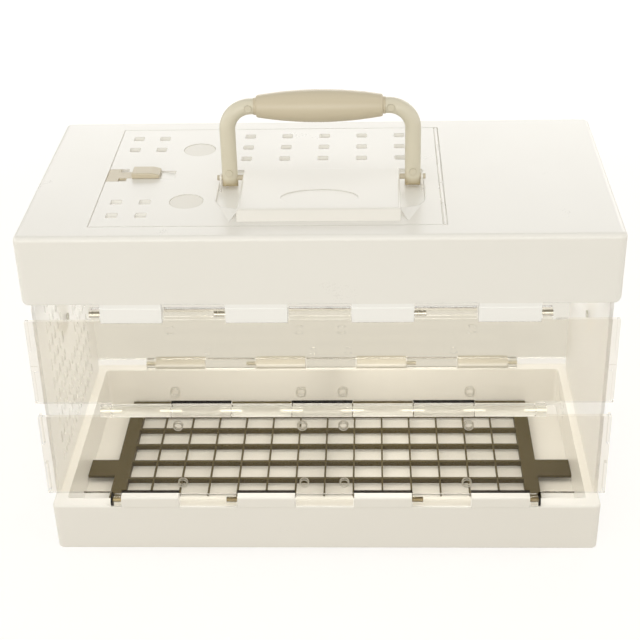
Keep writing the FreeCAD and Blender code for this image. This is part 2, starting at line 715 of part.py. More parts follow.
def well_skin(side):
    """Floor and walls of a well under the lid, before its room is cut out."""
    return prism(well_plan(side, BLOCK_WALL), (WELL_Z - WELL_FLOOR, HEIGHT))


def prow(side):
    """Corner of the block's skirt in front of a well, one facet that rises towards the block."""
    inner = side * (BLOCK_HALF - EMBED)
    outer = FreeCAD.Vector(side * WELL_OUT, HANDLE_Y - WELL_SIDE, HEIGHT)
    front = FreeCAD.Vector(side * (BLOCK_HALF + PROW_OUT), BLOCK_FRONT_Y, HEIGHT)
    crest = FreeCAD.Vector(inner, HANDLE_Y - WELL_FRONT, HEIGHT + PROW_H)
    facet = Part.Face(Part.makePolygon([outer, front, crest, outer]))
    above = box(half_span(2 * WELL_OUT, 0), (BLOCK_FRONT_Y, HANDLE_Y), (LID_UNDER, HEIGHT + PROW_H))
    return facet.extrude(FreeCAD.Vector(0, 0, -LID_T - PROW_H)).common(above)


def block_solid(inset, z):
    """The raised block's body, drawn in all round by an inset, with a sloping front and back."""
    half = BLOCK_HALF - inset
    back = BLOCK_BACK_Y - inset
    front = BLOCK_FRONT_Y + inset
    outline = [(back, z[0]), (front, z[0]), (front, HEIGHT), (front + BLOCK_SLOPE, z[1])]
    outline += [(back - BLOCK_BACK_SLOPE, z[1]), (back, HEIGHT)]
    return side_prism_x(outline, (-half, half))


def badge():
    """Shallow bare oval in the block's top."""
    middle = BLOCK_FRONT_Y + BLOCK_SLOPE + BADGE_MARGIN + BADGE_HALF_Y
    ellipse = Part.Ellipse(FreeCAD.Vector(0, middle, BLOCK_TOP - BADGE_DEPTH), BADGE_HALF_X, BADGE_HALF_Y)
    return Part.Face(Part.Wire(ellipse.toShape())).extrude(FreeCAD.Vector(0, 0, 2 * BADGE_DEPTH))


def latch_stem(grow):
    """Span along X of the latch's stem, which its bar ends at."""
    return span_about(LATCH_STEM_X, LATCH_STEM_L + 2 * grow)


def latch_pocket():
    """Pocket in the lid's free edge for the latch, the slot of its stem and a thumb scoop beside its knob."""
    z = (LATCH_POCKET_Z, HEIGHT + OVERCUT)
    start = LID_FREE_X - OVERCUT
    room = LATCH_TRAVEL + MOVE_CLEAR
    head = box((start, LID_FREE_X + LATCH_HEAD_L + room), half_span(LATCH_HEAD_W, MOVE_CLEAR), z)
    stem = latch_stem(0)
    bar = box((start, stem[1] + room), half_span(LATCH_NECK_W, MOVE_CLEAR), z)
    stem_z = (LATCH_BOSS_Z - OVERCUT, HEIGHT)
    stem_slot = box((stem[0] - MOVE_CLEAR, stem[1] + room), half_span(LATCH_STEM_W, MOVE_CLEAR), stem_z)
    scoop_end = LATCH_END_X + SCOOP_L
    ramp = [(LATCH_END_X - OVERCUT, z[1]), (LATCH_END_X - OVERCUT, HEIGHT - SCOOP_START)]
    ramp += [(scoop_end, HEIGHT - SCOOP_DEPTH), (scoop_end, z[1])]
    return [head, bar, stem_slot, side_prism_y(ramp, half_span(SCOOP_W, 0))]


def port_seat(side):
    """Stepped hole that a port's plug sits in."""
    y = side * PORT_Y
    wide = rod_z(PORT_R, PORT_X, y, (HEIGHT - PORT_DEPTH, HEIGHT + OVERCUT))
    return [wide, rod_z(PORT_R - PORT_SEAT, PORT_X, y, (LID_UNDER - OVERCUT, HEIGHT))]


def lid_rib():
    """Stiffening rib under the lid, just inside the ledge."""
    low = LID_UNDER - LID_RIB_H
    rib_x = (LID_FREE_X + LID_RIB_IN, LID_END_X - LID_RIB_IN)
    outside = box(rib_x, half_span(2 * LID_HALF_Y, -LID_RIB_IN), (low, LID_UNDER))
    hole_x = (rib_x[0] + LID_RIB_T, rib_x[1] - LID_RIB_T)
    hole_y = half_span(2 * LID_HALF_Y, -LID_RIB_IN - LID_RIB_T)
    return outside.cut(box(hole_x, hole_y, (low - OVERCUT, LID_UNDER)))


def lid():
    """Lid plate with its raised block, wells, vents, ports, rib, latch pocket and hinge knuckles."""
    plate = box((LID_FREE_X, LID_END_X), (-LID_HALF_Y, LID_HALF_Y), (LID_UNDER, HEIGHT))
    block = block_solid(0, (LID_UNDER, BLOCK_TOP))
    block = block.makeFillet(BLOCK_ROUND, edges_at_height(block, BLOCK_TOP))
    solids = [plate, block, lid_rib()]
    for side in (LEFT, RIGHT):
        solids += [well_skin(side), prow(side)]
    boss_x = (LID_FREE_X + LID_RIB_IN, LATCH_END_X + SCOOP_L + BLOCK_WALL)
    solids.append(box(boss_x, half_span(LATCH_HEAD_W, BLOCK_WALL), (LATCH_BOSS_Z, LID_UNDER)))
    for span in lid_knuckle_spans(0):
        solids.append(rod_y(LID_HINGE_R, LID_HINGE_X, span, LID_HINGE_Z))
        solids.append(box((LID_END_X - EMBED, LID_HINGE_X), span, (LID_UNDER, LID_HINGE_Z)))
    body = joined(solids)
    hollow = block_solid(BLOCK_WALL, (LID_UNDER - LID_RIB_H, BLOCK_TOP - BLOCK_WALL))
    hollow = hollow.cut([well_skin(LEFT), well_skin(RIGHT)])
    cuts = [well(LEFT), well(RIGHT), hollow, badge()] + lid_vents() + latch_pocket()
    cuts.append(rod_y(LID_PIN_R + SEAT_CLEAR, LID_HINGE_X, (-LID_HALF_Y, LID_HALF_Y), LID_HINGE_Z))
    for side in (FRONT, BACK):
        cuts += port_seat(side)
    for side in (LEFT, RIGHT):
        seat = (side * (BLOCK_HALF - PIVOT_SEAT), side * (BLOCK_HALF + OVERCUT))
        cuts.append(rod_x(PIVOT_R + SEAT_CLEAR, seat, HANDLE_Y, PIVOT_Z))
    return body.cut(cuts)


def lid_pin():
    return rod_y(LID_PIN_R, LID_HINGE_X, half_span(2 * LID_HALF_Y, -LID_PIN_END), LID_HINGE_Z)


def port_cap(side):
    """Round plug of a port, with a spigot through the lid."""
    y = side * PORT_Y
    top = HEIGHT - PORT_RECESS
    disc = rod_z(PORT_R - MOVE_CLEAR / 2, PORT_X, y, (HEIGHT - PORT_DEPTH, top))
    disc = disc.makeFillet(PORT_ROUND, edges_at_height(disc, top))
    spigot_r = PORT_R - PORT_SEAT - MOVE_CLEAR / 2
    spigot = rod_z(spigot_r, PORT_X, y, (LID_UNDER - PORT_SPIGOT, HEIGHT - PORT_DEPTH))
    return joined([disc, spigot])


def latch_knob():
    """Thumb knob that slides over the lid, with a falling end on the scoop's side."""
    low = HEIGHT + MOVE_CLEAR
    high = HEIGHT + LATCH_KNOB_H
    crease = LATCH_END_X - LATCH_KNOB_SLOPE
    outline = [(LATCH_KNOB_X, low), (LATCH_KNOB_X, high), (crease, high)]
    outline += [(LATCH_END_X, high - LATCH_KNOB_FALL), (LATCH_END_X, low)]
    knob = side_prism_y(outline, half_span(LATCH_KNOB_W, 0))
    rims = []
    for edge in knob.Edges:
        at_foot = all(abs(v.Z - low) < SAME for v in edge.Vertexes)
        at_crease = all(abs(v.X - crease) < SAME for v in edge.Vertexes)
        if not at_foot and not at_crease:
            rims.append(edge)
    return knob.makeFillet(LATCH_KNOB_ROUND, rims)


def latch_slider():
    """Latch bar with a wide head at the lid's edge, a neck, a thumb knob and a stem through the lid."""
    z = (LATCH_Z, HEIGHT)
    stem = latch_stem(0)
    head = box((LID_FREE_X, LID_FREE_X + LATCH_HEAD_L), half_span(LATCH_HEAD_W, 0), z)
    bar = box((LID_FREE_X, stem[1]), half_span(LATCH_NECK_W, 0), z)
    neck_x = (LATCH_KNOB_X + LATCH_KNOB_ROUND, stem[1])
    neck = box(neck_x, half_span(LATCH_NECK_W, 0), (LATCH_Z, HEIGHT + EMBED))
    post = box(stem, half_span(LATCH_STEM_W, 0), (LATCH_BOSS_Z - MOVE_CLEAR, LATCH_Z))
    return joined([head, bar, neck, latch_knob(), post])


def latch_keeper():
    """Plate under the lid that holds the latch's stem up."""
    high = LATCH_BOSS_Z - MOVE_CLEAR
    wide = half_span(LATCH_STEM_W, LATCH_KEEPER_LAP)
    return box(latch_stem(LATCH_KEEPER_LAP), wide, (high - LATCH_KEEPER_T, high))


def screw_places():
    """Centres of the four screws: two beside the grip and two low on the legs."""
    beside = GRIP_HALF + GRIP_COLLAR_L + GRIP_SCREW_GAP
    low = PIVOT_Z + PIVOT_R + SCREW_HEAD_R + SCREW_FROM_PIN
    places = []
    for side in (LEFT, RIGHT):
        places.append((side * beside, GRIP_Z))
        places.append((side * HANDLE_HALF, low))
    return places


def screw(place, clearance, head_front):
    """Round-headed screw through the handle's tube, seen from the front, or its hole with a clearance."""
    x, z = place
    seat = HANDLE_Y - HANDLE_R - SCREW_PROUD + SCREW_HEAD_H
    head = rod_y(SCREW_HEAD_R + clearance, x, (head_front, seat), z)
    shank = rod_y(SCREW_R + clearance, x, (seat, HANDLE_Y + HANDLE_R - SCREW_END), z)
    return joined([head, shank])


def handle_screws():
    front = HANDLE_Y - HANDLE_R - SCREW_PROUD
    return Part.makeCompound([screw(place, 0, front) for place in screw_places()])


def handle_path():
    """Centre line of the handle's tube, from one foot over both bends to the other."""
    diagonal = HANDLE_BEND * (1 - math.sqrt(0.5))
    edges = []
    corner_ends = []
    for side in (LEFT, RIGHT):
        x = side * HANDLE_HALF
        foot = FreeCAD.Vector(x, HANDLE_Y, PIVOT_Z - HANDLE_TAIL)
        leg = FreeCAD.Vector(x, HANDLE_Y, GRIP_Z - HANDLE_BEND)
        bend = FreeCAD.Vector(x - side * diagonal, HANDLE_Y, GRIP_Z - diagonal)
        bar = FreeCAD.Vector(x - side * HANDLE_BEND, HANDLE_Y, GRIP_Z)
        corner_ends.append(bar)
        if side == LEFT:
            edges += [Part.LineSegment(foot, leg).toShape(), Part.Arc(leg, bend, bar).toShape()]
        else:
            edges.append(Part.LineSegment(corner_ends[0], bar).toShape())
            edges += [Part.Arc(bar, bend, leg).toShape(), Part.LineSegment(leg, foot).toShape()]
    return Part.Wire(edges)


def handle_bail():
    """Bent tube of the handle: two legs with round feet, two bends and the bar inside the grip."""
    foot = FreeCAD.Vector(-HANDLE_HALF, HANDLE_Y, PIVOT_Z - HANDLE_TAIL)
    ring = Part.Wire(Part.Circle(foot, Z_AXIS, HANDLE_R).toShape())
    tube = handle_path().makePipeShell([ring], True, False)
    cuts = [screw(place, SEAT_CLEAR, HANDLE_Y - HANDLE_R - OVERCUT) for place in screw_places()]
    for side in (LEFT, RIGHT):
        span = span_about(side * HANDLE_HALF, 2 * (HANDLE_R + OVERCUT))
        depth = span_about(HANDLE_Y, 2 * (HANDLE_R + OVERCUT))
        corners = box(span, depth, (PIVOT_Z - HANDLE_TAIL - OVERCUT, PIVOT_Z))
        cuts.append(corners.cut(rod_x(HANDLE_TAIL, span, HANDLE_Y, PIVOT_Z)))
        cuts.append(rod_x(PIVOT_R + RUN_CLEAR, span, HANDLE_Y, PIVOT_Z))
    return tube.cut(cuts)


def handle_grip():
    """Barrel grip round the handle's bar, with a short collar at each end."""
    middle = FreeCAD.Vector(0, HANDLE_Y, GRIP_Z)
    bore = HANDLE_R + SEAT_CLEAR
    collar = GRIP_HALF + GRIP_COLLAR_L
    left = [(-collar, bore), (-collar, GRIP_COLLAR_R), (-GRIP_HALF, GRIP_COLLAR_R), (-GRIP_HALF, GRIP_END_R)]
    right = [(-x, radius) for x, radius in reversed(left)]
    places = [middle + FreeCAD.Vector(x, 0, radius) for x, radius in left + right]
    crown = middle + FreeCAD.Vector(0, 0, GRIP_MID_R)
    half = len(left)
    edges = []
    for n, place in enumerate(places):
        following = places[(n + 1) % len(places)]
        if n == half - 1:
            edges.append(Part.Arc(place, crown, following).toShape())
        else:
            edges.append(Part.LineSegment(place, following).toShape())
    body = Part.Face(Part.Wire(edges)).revolve(middle, X_AXIS, 360)
    rims = []
    for edge in body.Edges:
        if isinstance(edge.Curve, Part.Circle) and abs(edge.Curve.Radius - GRIP_END_R) < SAME:
            rims.append(edge)
    return body.makeFillet(GRIP_ROUND, rims)


def handle_bracket(side):
    """Ear on the outer side of a handle leg, with a long foot on the floor of the well."""
    x = (side * BRACKET_IN, side * BRACKET_OUT)
    ear = rod_x(BRACKET_R, x, HANDLE_Y, PIVOT_Z)
    post = box(x, span_about(HANDLE_Y, 2 * BRACKET_R), (WELL_Z, PIVOT_Z))
    foot = box(x, span_about(HANDLE_Y, 2 * BRACKET_FOOT), (WELL_Z, WELL_Z + BRACKET_FOOT_T))
    return joined([ear, post, foot]).cut(rod_x(PIVOT_R + SEAT_CLEAR, x, HANDLE_Y, PIVOT_Z))


def pivot_pins():
    """Pins that carry the handle's legs between the block's walls and the brackets."""
    pins = []
    for side in (LEFT, RIGHT):
        span = (side * (BLOCK_HALF - PIVOT_SEAT + RUN_CLEAR), side * (BRACKET_OUT + PIVOT_PROUD))
        pins.append(rod_x(PIVOT_R, span, HANDLE_Y, PIVOT_Z))
    return Part.makeCompound(pins)


def pieces():
    """Every piece of the carrier by name."""
    made = {
        "base_tray": tray(),
        "floor_grate": grate(),
        "cover_shell": cover(),
        "lid_panel": lid(),
        "lid_hinge_pin": lid_pin(),
        "port_cap_front": port_cap(FRONT),
        "port_cap_back": port_cap(BACK),
        "latch_slider": latch_slider(),
        "latch_keeper": latch_keeper(),
        "handle_bail": handle_bail(),
        "handle_grip": handle_grip(),
        "handle_screws": handle_screws(),
        "handle_pivot_pins": pivot_pins(),
    }
    for wall, side in (("front", FRONT), ("back", BACK)):
        made[wall + "_lower_panel"] = lower_leaf(side)
        made[wall + "_upper_panel"] = upper_leaf(side)
        made[wall + "_bottom_pins"] = wall_pins(side, OUTER_JOINS, LOW_Z)
        made[wall + "_middle_pins"] = wall_pins(side, MIDDLE_JOINS, MID_Z)
        made[wall + "_top_pins"] = wall_pins(side, OUTER_JOINS, TOP_Z)
    for end, side, vented in (("left", LEFT, True), ("right", RIGHT, False)):
        made["end_panel_" + end] = end_panel(side, vented)
        made["end_strap_" + end] = end_strap(side)
        made["end_hinge_pin_" + end] = end_pin(side)
        made["strap_rivets_" + end] = strap_rivets(side)
        made["handle_bracket_" + end] = handle_bracket(side)
    return made


os.makedirs("parts", exist_ok=True)
for name, shape in pieces().items():
    shape.exportStep("parts/" + name + ".step")
    print(name, len(shape.Solids), shape.isValid(), round(shape.Volume / 1000, 2), "cm3")
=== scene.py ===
"""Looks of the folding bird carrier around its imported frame: finishes, light and camera."""
import json
import math

import bpy
from mathutils import Matrix, Vector

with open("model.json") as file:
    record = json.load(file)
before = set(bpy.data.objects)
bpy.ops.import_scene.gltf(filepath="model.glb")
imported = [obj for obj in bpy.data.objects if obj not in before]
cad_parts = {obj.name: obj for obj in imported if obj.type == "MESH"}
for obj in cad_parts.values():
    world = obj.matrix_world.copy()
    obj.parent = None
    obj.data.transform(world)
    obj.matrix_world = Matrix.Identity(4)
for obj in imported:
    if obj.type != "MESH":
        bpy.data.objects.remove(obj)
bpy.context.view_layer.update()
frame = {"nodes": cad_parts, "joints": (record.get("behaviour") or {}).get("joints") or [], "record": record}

NODES = frame["nodes"]
JOINT_AT = {joint["name"]: joint.get("pos_m") for joint in frame["joints"]}

# Camera of the photograph, in metres, degrees and pixels
CAMERA_AT = (0.0330, -0.8300, 0.5979)
CAMERA_YAW = -2.535
CAMERA_PITCH = 29.72
CAMERA_ROLL = -1.519
CAMERA_NEAR = 0.01
FOCAL_PX = 1418.8
PHOTO_PX = 640
SENSOR_MM = 36.0

# Hinge rows of the clear walls, in metres
HINGE_Y, LOWER_HINGE_Z = JOINT_AT["back_bottom_hinge"][1:]
MIDDLE_HINGE_Z = JOINT_AT["back_middle_hinge"][2]
KNUCKLE_W = 0.038
KNUCKLE_END_X = 0.1397
KNUCKLE_END_LINE = 0.001
KNUCKLE_TOP_RISE = 0.0045
KNUCKLE_ZONE_R = 0.0046
LEAF_EDGE_RISE = 0.005
JOINT_SHADOW_WIDTH = 0.001

# Painted shadow lines in the gaps along the front leaves' lower edges: height of the leaf's edge, shift of
# the first knuckle, reach to each side
LOWER_JOINT_SHADOW = (LOWER_HINGE_Z + LEAF_EDGE_RISE, KNUCKLE_W, 3.5 * KNUCKLE_W)
UPPER_JOINT_SHADOW = (MIDDLE_HINGE_Z + LEAF_EDGE_RISE, 0.0, 2.5 * KNUCKLE_W)

# Moulding rings of the front leaves, in metres
RING_X = (0.013, 0.092)
RING_R = 0.0028
RING_LINE = 0.00045
RING_FROM_HINGE = 0.0126
LOWER_RINGS_Z = (LOWER_HINGE_Z + RING_FROM_HINGE, MIDDLE_HINGE_Z - RING_FROM_HINGE)
UPPER_RINGS_Z = (MIDDLE_HINGE_Z + RING_FROM_HINGE, MIDDLE_HINGE_Z + RING_FROM_HINGE)

# Where the painted light and shade of tray, cover, lid and handle start, in metres
BACK_ROW_Y = 0.0815
BACK_ROW_Z = 0.0352
COVER_EDGE_Z = 0.1858
LID_TOP_Z = 0.2307
FOOT_DARK_Z = 0.2318
FOOT_LIGHT_Z = 0.2362

# Limits on the way a surface faces, each for one part of its normal
TAB_INNER_FACING = 0.4
BLOCK_FRONT_FACING = -0.6
SHEET_EDGE_FACING = 0.9

# Lamps of the studio and lamps inside the cabin: name, place, aim, size in metres, watts
STUDIO_LAMPS = (
    ("top", (0, -0.2, 2.0), (0, 0, 0.15), (2.2, 2.0), 5.3),
    ("front", (-0.3, -2.0, 0.75), (0, 0, 0.12), (2.4, 1.0), 21),
    ("back", (0.2, 2.0, 0.75), (0, 0, 0.12), (2.4, 1.0), 15),
    ("left", (-2.0, -0.2, 0.7), (0, 0, 0.12), (1.8, 1.0), 10),
    ("right", (2.0, -0.2, 0.7), (0, 0, 0.12), (1.8, 1.0), 10),
)
CABIN_LAMPS = (
    ("cabin_down", (0, 0, 0.172), (0, 0, 0), (0.32, 0.15), 0.19),
    ("cabin_left", (-0.02, 0, 0.1), (-0.2, 0, 0.06), (0.14, 0.12), 0.045),
    ("cabin_right", (0.02, 0, 0.1), (0.2, 0, 0.06), (0.14, 0.12), 0.07),
)
CABIN_PIECES = ("base_tray", "floor_grate", "end_panel_left", "end_panel_right",
                "end_strap_left", "end_strap_right")

# Surroundings, and the floor's white as it is seen near the carrier and far from it
SKY_WHITE = (1.0, 0.99, 0.97, 1)
SKY_LIGHT, SKY_SEEN = 0.42, 1.0
FLOOR_HALF_M = 9
FLOOR_GREY = (0.50, 0.48, 0.44, 1)
FLOOR_ROUGH, FLOOR_SPECULAR = 0.8, 0.1
FLOOR_NEAR_M, FLOOR_FAR_M = 0.6, 2.6
FLOOR_NEAR_GLOW, FLOOR_FAR_GLOW = 0.6, 1.0

# Linear colours of the finishes, and of the light and shade painted into some of them
WHITE = (1, 1, 1, 1)
NO_GLOW = (0, 0, 0, 1)
CREAM = (0.875, 0.845, 0.765, 1)
CREAM_SHADE = (0.845, 0.81, 0.72, 1)
TRAY_CREAM = (0.865, 0.825, 0.735, 1)
TRAY_SHADE = (0.835, 0.79, 0.69, 1)
# Painted shade on the inner side of the tray's back tabs
TRAY_TAB_PAINTED_SHADE = (0.58, 0.53, 0.42, 1)
# Painted light on the cover's hinge tabs
TAB_PAINTED_LIGHT = (0.94, 0.92, 0.855, 1)
# Painted shade on the front of the lid's raised block
LID_FRONT_PAINTED_SHADE = (0.775, 0.74, 0.655, 1)
# Painted light in the lid's wells and air holes
LID_RECESS_PAINTED_LIGHT = (0.96, 0.935, 0.855, 1)
PORT_CREAM = (0.78, 0.74, 0.64, 1)
PORT_SHADE = (0.73, 0.69, 0.58, 1)
BEIGE = (0.63, 0.55, 0.39, 1)
BEIGE_SHADE = (0.57, 0.49, 0.34, 1)
BAIL_BEIGE = (0.715, 0.66, 0.505, 1)
BAIL_SHADE = (0.66, 0.60, 0.45, 1)
# Painted shade on the lower feet of the handle's bail
BAIL_FOOT_PAINTED_SHADE = (0.47, 0.385, 0.225, 1)
SCREW_BEIGE = (0.68, 0.62, 0.465, 1)
GRATE_BROWN = (0.092, 0.068, 0.021, 1)
GRATE_SHADE = (0.062, 0.045, 0.013, 1)
PIVOT_BEIGE = (0.60, 0.53, 0.39, 1)
PIVOT_SHADE = (0.50, 0.43, 0.29, 1)
PIN_BRASS = (0.30, 0.24, 0.12, 1)
PIN_TARNISH = (0.16, 0.12, 0.06, 1)
STEEL = (0.66, 0.64, 0.58, 1)
STEEL_SHADE = (0.50, 0.48, 0.43, 1)
PALE_STEEL = (0.86, 0.83, 0.74, 1)
PALE_STEEL_SHADE = (0.80, 0.76, 0.66, 1)
FRONT_TINT = (0.885, 0.86, 0.805, 1)
FRONT_SHADE = (0.87, 0.84, 0.78, 1)
# Back leaves: the same clear plastic as the front ones, tinted darker as painted shade for the darker
# surroundings seen through them
BACK_SHADED_TINT = (0.795, 0.775, 0.715, 1)
BACK_SHADED_TONE = (0.775, 0.75, 0.68, 1)
# Painted shadow in the gaps below the front leaves' edges and at the knuckle row's ends
JOINT_PAINTED_SHADOW = (0.004, 0.003, 0.002, 1)
RING_TINT = (0.72, 0.68, 0.59, 1)
# Painted light in the knuckles: a paler tint and a small glow for the bright light that they gather
KNUCKLE_LIT_TINT = (0.95, 0.93, 0.87, 1)
KNUCKLE_PAINTED_GLOW = (0.06, 0.056, 0.046, 1)
MILKY = (0.90, 0.88, 0.835, 1)
MILKY_SHADE = (0.875, 0.85, 0.795, 1)

# Noise of moulded plastic: scales per metre, the spans that are spread out, and shares
DRIFT_SCALE, DRIFT_SPAN = 9.0, (0.35, 0.7)
PATCH_SCALE, PATCH_SPAN = 26.0, (0.2, 0.8)
FINE_GRAIN, GRAIN_SPAN = 900.0, (0.3, 0.7)
SPECK = 0.06
PATCH_SHARE, GRAIN_SHARE = 0.7, 0.3
FINE_BUMP, BUMP_DEPTH = 0.02, 0.0004

# Rubbed edges
WEAR_REACH, WEAR_GAIN = 0.0006, 1.6
BEVEL_SAMPLES = 6

# Drawn pins
PIN_DRIFT, PIN_GRAIN = 0.8, 1500.0
PIN_BUMP, PIN_BUMP_DEPTH = 0.05, 0.0002

# Clear plastic: the share of light that it lets through, and how far its narrow edges fade
CLEAR_DRIFT, CLEAR_GRAIN = 0.4, 60.0
CLEAR_ROUGH, RING_ROUGH, KNUCKLE_ROUGH = 0.04, 0.4, 0.6
CLEAR_IOR = 1.25
CLEAR_PASSES = 0.95
SHEET_EDGE_FADE = 0.8

# Milky plastic and its upright flow bands
MILKY_DRIFT, MILKY_GRAIN = 0.2, 500.0
MILKY_SMOOTH, MILKY_ROUGH = 0.3, 0.36
MILKY_CLEAR = 0.75
MILKY_IOR = 1.03
MILKY_PASSES = 0.8
BAND_SCALE, BAND_STRETCH = 70.0, 0.06
BAND_SPAN, BAND_SHARE = (0.3, 0.7), 0.3

# Surfaces of the moulded finishes
GLOSS_CREAM = {"drift": 0.3, "smooth": 0.26, "rough": 0.32, "glow": 0.85}
GLOSS_PORT = {"drift": 0.3, "smooth": 0.28, "rough": 0.38}
SATIN_BEIGE = {"drift": 0.3, "smooth": 0.3, "rough": 0.42, "grain": 1200.0, "bump": 0.05}
SATIN_GRATE = {"drift": 0.5, "smooth": 0.45, "rough": 0.6, "specular": 0.1}
SATIN_PIVOT = {"drift": 0.4, "smooth": 0.35, "rough": 0.5}

COLOUR, NUMBER, VECTOR = "NodeSocketColor", "NodeSocketFloat", "NodeSocketVector"


class Nodes:
    """Places and links nodes in one tree."""

    def __init__(self, tree):
        self.tree = tree

    def set(self, node, name, value):
        """Sets or links an input, given by its name or its number."""
        socket = node.inputs[name]
        if isinstance(value, bpy.types.NodeSocket):
            self.tree.links.new(value, socket)
        else:
            socket.default_value = value

    def add(self, kind, settings=None, **inputs):
        """New node with its settings and inputs; an underscore stands for a space in an input's name."""
        node = self.tree.nodes.new(kind)
        for name, value in (settings or {}).items():
            setattr(node, name, value)
        for name, value in inputs.items():
            self.set(node, name.replace("_", " "), value)
        return node

    def effect(self, group, **inputs):
        """Outputs of a node group that is placed with its own values."""
        return self.add("ShaderNodeGroup", {"node_tree": group}, **inputs).outputs

    def numbered(self, node, values):
        """The node, with its first inputs in order."""
        for place, value in enumerate(values):
            self.set(node, place, value)
        return node

    def math(self, operation, a, b=0.5, c=0.5, clamp=False):
        """Result of a math operation."""
        node = self.add("ShaderNodeMath", {"operation": operation, "use_clamp": clamp})
        return self.numbered(node, (a, b, c)).outputs[0]

    def vector_math(self, operation, *vectors):
        """Number that a vector operation gives."""
        node = self.add("ShaderNodeVectorMath", {"operation": operation})
        return self.numbered(node, vectors).outputs["Value"]

    def remap(self, value, low, high, to_low, to_high):
        """Value moved from one span to another, and kept within it."""
        node = self.add("ShaderNodeMapRange")
        return self.numbered(node, (value, low, high, to_low, to_high)).outputs[0]

    def mix(self, factor, a, b):
        """Colour between a and b."""
        node = self.add("ShaderNodeMix", {"data_type": "RGBA"})
        for place, value in ((0, factor), (6, a), (7, b)):
            self.set(node, place, value)
        return node.outputs[2]

    def noise(self, place, scale, detail, rough=0.5):
        """Soft noise over the surface."""
        inputs = {"Vector": place, "Scale": scale, "Detail": detail, "Roughness": rough}
        return self.add("ShaderNodeTexNoise", **inputs).outputs[0]

    def both(self, a, b):
        """Product of two masks."""
        return self.math("MULTIPLY", a, b)

    def either(self, a, b):
        """Greater of two masks or levels."""
        return self.math("MAXIMUM", a, b)

    def size(self, a):
        """Number without its sign."""
        return self.math("ABSOLUTE", a)

    def diagonal(self, a, b):
        """Distance across two sides at a right angle."""
        return self.math("SQRT", self.math("ADD", self.math("MULTIPLY", a, a), self.math("MULTIPLY", b, b)))

    def coordinate(self, kind):
        """Object for the place on the piece in metres, Normal for the way its surface faces."""
        return self.add("ShaderNodeTexCoord").outputs[kind]

    def axes(self, kind):
        """X, Y and Z of such a coordinate."""
        return self.add("ShaderNodeSeparateXYZ", Vector=self.coordinate(kind)).outputs


def new_group(name, ins, outs):
    """Empty shader node group; gives the group, its nodes, its inputs' values and its output node."""
    group = bpy.data.node_groups.new(name, "ShaderNodeTree")
    for socket, kind, value in ins:
        item = group.interface.new_socket(socket, in_out="INPUT", socket_type=kind)
        item.default_value = value
    for socket, kind in outs:
        group.interface.new_socket(socket, in_out="OUTPUT", socket_type=kind)
    source = group.nodes.new("NodeGroupInput")
    sink = group.nodes.new("NodeGroupOutput")
    return group, Nodes(group), source.outputs, sink


def moulded_group():
    """Moulded plastic: slow tone drift, fine grain in the surface and faint rubbed patches."""
    ins = [("Colour", COLOUR, CREAM), ("Shade", COLOUR, CREAM_SHADE), ("Drift", NUMBER, 0.5),
           ("Grain size", NUMBER, FINE_GRAIN), ("Smooth", NUMBER, 0.25), ("Rough", NUMBER, 0.45)]
    outs = [("Colour", COLOUR), ("Roughness", NUMBER), ("Height", NUMBER)]
    group, n, given, sink = new_group("moulded_plastic", ins, outs)
    place = n.coordinate("Object")
    drift = n.noise(place, DRIFT_SCALE, detail=3.0, rough=0.55)
    grain = n.noise(place, given["Grain size"], detail=2.0)
    patch = n.noise(place, PATCH_SCALE, detail=2.0)
    tone = n.math("MULTIPLY", n.remap(drift, *DRIFT_SPAN, 0.0, 1.0), given["Drift"])
    speck = n.math("MULTIPLY", n.remap(grain, *GRAIN_SPAN, -SPECK, SPECK), given["Drift"])
    rubbed = n.math("MULTIPLY", n.remap(patch, *PATCH_SPAN, 0.0, 1.0), PATCH_SHARE)
    blend = n.math("ADD", rubbed, n.math("MULTIPLY", grain, GRAIN_SHARE))
    n.set(sink, "Colour", n.mix(n.math("ADD", tone, speck, clamp=True), given["Colour"], given["Shade"]))
    n.set(sink, "Roughness", n.remap(blend, 0.0, 1.0, given["Smooth"], given["Rough"]))
    n.set(sink, "Height", grain)
    return group


def edge_group():
    """Mask of the edges, from the turn of the surface within a small reach, and its rounded normal."""
    ins = [("Reach", NUMBER, WEAR_REACH), ("Gain", NUMBER, WEAR_GAIN)]
    outs = [("Edge", NUMBER), ("Rounded", VECTOR)]
    group, n, given, sink = new_group("rubbed_edges", ins, outs)
    rounded = n.add("ShaderNodeBevel", {"samples": BEVEL_SAMPLES}, Radius=given["Reach"]).outputs[0]
    flat = n.add("ShaderNodeNewGeometry").outputs["Normal"]
    turn = n.math("SUBTRACT", 1.0, n.vector_math("DOT_PRODUCT", rounded, flat), clamp=True)
    n.set(sink, "Edge", n.math("MULTIPLY", turn, given["Gain"], clamp=True))
    n.set(sink, "Rounded", rounded)
    return group


def joint_shadow_group():
    """Mask of the painted shadow line along a leaf's lower edge, in the gap above each knuckle of the piece
    below it.
    """
    edge_z, shift, reach = LOWER_JOINT_SHADOW
    ins = [("Edge height", NUMBER, edge_z), ("Shift", NUMBER, shift), ("Reach", NUMBER, reach)]
    group, n, given, sink = new_group("joint_line", ins, [("Line", NUMBER)])
    place = n.axes("Object")
    from_middle = n.math("PINGPONG", n.math("SUBTRACT", place["X"], given["Shift"]), KNUCKLE_W)
    over_knuckle = n.math("LESS_THAN", from_middle, KNUCKLE_W / 2)
    within = n.math("LESS_THAN", n.size(place["X"]), given["Reach"])
    at_edge = n.math("COMPARE", place["Z"], given["Edge height"], JOINT_SHADOW_WIDTH)
    n.set(sink, "Line", n.both(n.both(over_knuckle, within), at_edge))
    return group


